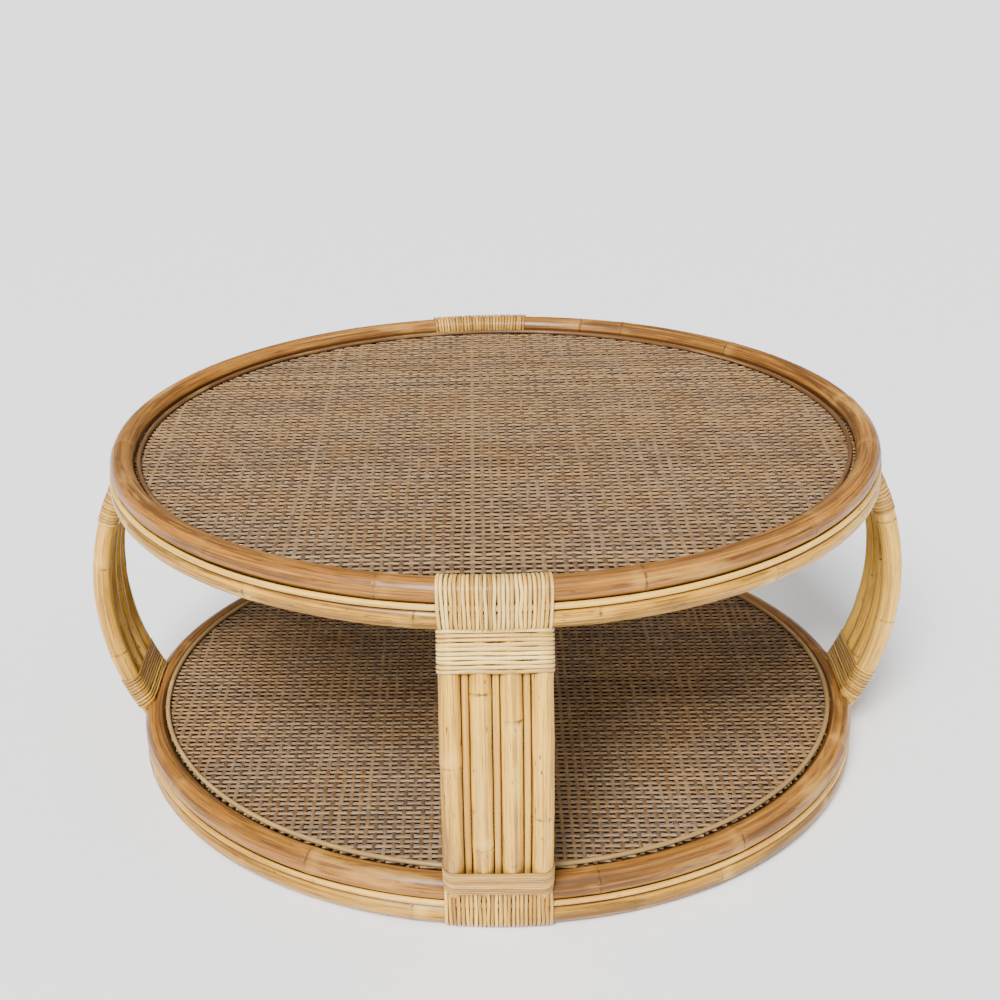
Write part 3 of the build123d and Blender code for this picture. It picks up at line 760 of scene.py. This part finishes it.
# ---- webbing ------------------------------------------------------------------------------------
WARP_PITCH = 0.0102  # of the strands that run front to back
WEFT_PITCH = {"top": 0.0102, "shelf": 0.0094}  # of those that run left to right
CANE_WIDTH = {"weft": 0.0039, "warp": 0.0046}
CANE_THICKNESS = 0.0036
WEAVE_RISE = 0.0002  # how far a strand's middle goes over and under
TUCK = 0.0028  # the strands' ends run this far past the CAD sheet, in under the rim
SAMPLES = 4  # sections to one crossing
PIECES_EACH_WAY = 2
FLATNESS = 1.6  # a higher value makes a strand step over its neighbours more sharply
LINE_SPREAD = 0.00035  # how far a strand lies off its even place
SWAY = (0.0004, 37), (0.0003, 91)  # slow and fast bends, each with its radians per metre
WIDTH_WAVE, WIDTH_SPREAD = 0.06, 0.05  # shares by which its width varies along it and by strand
WIDTH_RATE = 23  # radians per metre
WEBBING_SHADE_SPREAD = 0.09


def woven_strand(sweep, way, line, pitch, crossing, radius, middle_z, tint):
    """One flat strand that goes over one, under one, from edge to edge of the disc."""
    across = np.array((-0.46, -0.5, -0.34, 0.0, 0.34, 0.5, 0.46, 0.0)) * CANE_WIDTH[way]
    lift = np.array((-0.46, 0.38, 0.47, 0.5, 0.47, 0.38, -0.46, -0.5)) * CANE_THICKNESS
    offset = line * pitch + rng.normal(0, LINE_SPREAD)
    reach = math.sqrt(max(radius**2 - offset**2, 0))
    if reach < pitch:
        return
    run = np.linspace(-reach, reach, int(2 * reach / crossing * SAMPLES))
    over = np.cos(np.pi * run / crossing) * (1 if line % 2 else -1)
    over = np.tanh(FLATNESS * over) / np.tanh(FLATNESS) * (1 if way == "weft" else -1)
    height = middle_z + WEAVE_RISE * over
    (slow, slow_rate), (fast, fast_rate) = SWAY
    sway = offset + slow * np.cos(run * slow_rate + line) + fast * np.cos(run * fast_rate + 2 * line)
    width = 1 + WIDTH_WAVE * np.cos(run * WIDTH_RATE + 3 * line) + rng.normal(0, WIDTH_SPREAD)
    beside = sway[:, None] + width[:, None] * across
    high = height[:, None] + lift
    along = np.broadcast_to(run[:, None], beside.shape)
    if way == "weft":
        grid = np.stack([along, beside, high], axis=-1)[:, ::-1]
    else:
        grid = np.stack([beside, along, high], axis=-1)
    # "low" runs from 0 at the weave's top to 1 at its bottom; the material paints shade on it.
    half = WEAVE_RISE + CANE_THICKNESS / 2
    low = (middle_z + half - grid[..., 2]) / (2 * half)
    fibre = fibre_grid(run[:, None], width[:, None] * across, np.broadcast_to(lift, beside.shape))
    if way == "weft":
        fibre = fibre[:, ::-1]
    shade = float(np.clip(tint + rng.normal(0, WEBBING_SHADE_SPREAD), -0.6, 0.7))
    sweep.add(grid, fibre, False, shade, low=low)


def weave(tier, radius, middle_z):
    """Flat cane woven over one, under one, out to radius, about the height middle_z."""
    ways = {  # the pitch of a way's strands, the pitch of those that they cross, and their tint
        # Painted highlight: the weft's tint of 0.42 makes it paler than the warp, as if lit.
        "weft": (WEFT_PITCH[tier], WARP_PITCH, 0.42),
        "warp": (WARP_PITCH, WEFT_PITCH[tier], 0.0),
    }
    for way, (pitch, crossing, tint) in ways.items():
        half_count = int(radius / pitch)
        halves = np.array_split(np.arange(-half_count, half_count + 1), PIECES_EACH_WAY)
        for part, lines in enumerate(halves, start=1):
            sweep = Sweep()
            for line in lines:
                woven_strand(sweep, way, int(line), pitch, crossing, radius, middle_z, tint)
            sweep.piece(f"{tier}_{way}_{part}", "cane_webbing", f"{tier}_webbing")


for tier in ("top", "shelf"):
    low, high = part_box(f"{tier}_webbing")
    weave(tier, high.x + TUCK, (low.z + high.z) / 2)


# ---- CAD nodes that stay ------------------------------------------------------------------------
for name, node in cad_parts.items():
    if node.hide_render:
        continue
    if name.endswith("_screws"):
        chosen = MATERIALS["screw_steel"]
    elif "cross_bar" in name:
        chosen = HIDDEN_ALONG_X
    elif "_rail_" in name:
        chosen = HIDDEN_ALONG_Y
    else:
        chosen = MATERIALS["hidden_pole"]
    node.data.materials.clear()
    node.data.materials.append(chosen)


# ---- studio -------------------------------------------------------------------------------------
def plane(name, width, depth, z):
    mesh = bpy.data.meshes.new(name)
    corners = [(-width, -depth, z), (width, -depth, z), (width, depth, z), (-width, depth, z)]
    mesh.from_pydata(corners, [], [(0, 1, 2, 3)])
    made = bpy.data.objects.new(name, mesh)
    bpy.context.scene.collection.objects.link(made)
    return made


FLOOR_HALF = 20
FLOOR_Z = -0.0002  # just under the table's feet, so that no two faces share a plane
floor = plane("studio_floor", FLOOR_HALF, FLOOR_HALF, FLOOR_Z)
floor.data.materials.append(floor_paper())

world = bpy.data.worlds.new("studio")
bpy.context.scene.world = world
world.use_nodes = True
sky = world.node_tree.nodes["Background"]
sky.inputs["Color"].default_value = (1, 1, 1, 1)
sky.inputs["Strength"].default_value = 0.3


def softbox(name, place, aim, size, power):
    """A square light at place, facing aim."""
    data = bpy.data.lights.new(name, "AREA")
    data.shape = "SQUARE"
    data.size = size
    data.energy = power
    made = bpy.data.objects.new(name, data)
    made.location = place
    made.rotation_euler = (Vector(aim) - Vector(place)).to_track_quat("-Z", "Y").to_euler()
    bpy.context.scene.collection.objects.link(made)


def wide_light(name, place, strength, spread):
    """A far soft light from the side of place, which lights the whole floor evenly."""
    data = bpy.data.lights.new(name, "SUN")
    data.energy = strength
    data.angle = math.radians(spread)
    made = bpy.data.objects.new(name, data)
    made.rotation_euler = Vector(place).to_track_quat("Z", "Y").to_euler()
    bpy.context.scene.collection.objects.link(made)


wide_light("main_light", (-0.3, -1.0, 1.05), 7.5, 24)
wide_light("side_light", (0.9, -0.2, 1.3), 0.7, 60)
softbox("key_light", (-1.0, -1.5, 2.4), (0, 0, 0.3), 1.2, 12)

# ---- camera -------------------------------------------------------------------------------------
CAMERA_DISTANCE = 2.0764
CAMERA_ELEVATION = math.radians(22.592)
CAMERA_AZIMUTH = math.radians(-0.293)
CAMERA_PAN = math.radians(-3.697)  # turned this far to the left of the table's axis
CAMERA_ROLL = math.radians(-0.881)
CAMERA_AIM_BELOW_TOP = 0.0989
LENS = 61.52
SENSOR_WIDTH = 36
LENS_SHIFT = 0.12

back = Vector((
    math.sin(CAMERA_AZIMUTH) * math.cos(CAMERA_ELEVATION),
    -math.cos(CAMERA_AZIMUTH) * math.cos(CAMERA_ELEVATION),
    math.sin(CAMERA_ELEVATION),
))
target = Vector((0, 0, TOP_UPPER[1] + TOP_UPPER[2] - CAMERA_AIM_BELOW_TOP))
forward = -back
right = forward.cross(Vector((0, 0, 1))).normalized()
up = right.cross(forward)
forward, right = (
    math.cos(CAMERA_PAN) * forward + math.sin(CAMERA_PAN) * right,
    math.cos(CAMERA_PAN) * right - math.sin(CAMERA_PAN) * forward,
)
right, up = (
    math.cos(CAMERA_ROLL) * right + math.sin(CAMERA_ROLL) * up,
    math.cos(CAMERA_ROLL) * up - math.sin(CAMERA_ROLL) * right,
)
camera_data = bpy.data.cameras.new("camera")
camera_data.lens = LENS
camera_data.sensor_width = SENSOR_WIDTH
camera_data.shift_x = LENS_SHIFT
camera = bpy.data.objects.new("camera", camera_data)
rotation = Matrix((right, up, -forward)).transposed().to_4x4()
camera.matrix_world = Matrix.Translation(target + back * CAMERA_DISTANCE) @ rotation
bpy.context.scene.collection.objects.link(camera)
bpy.context.scene.camera = camera
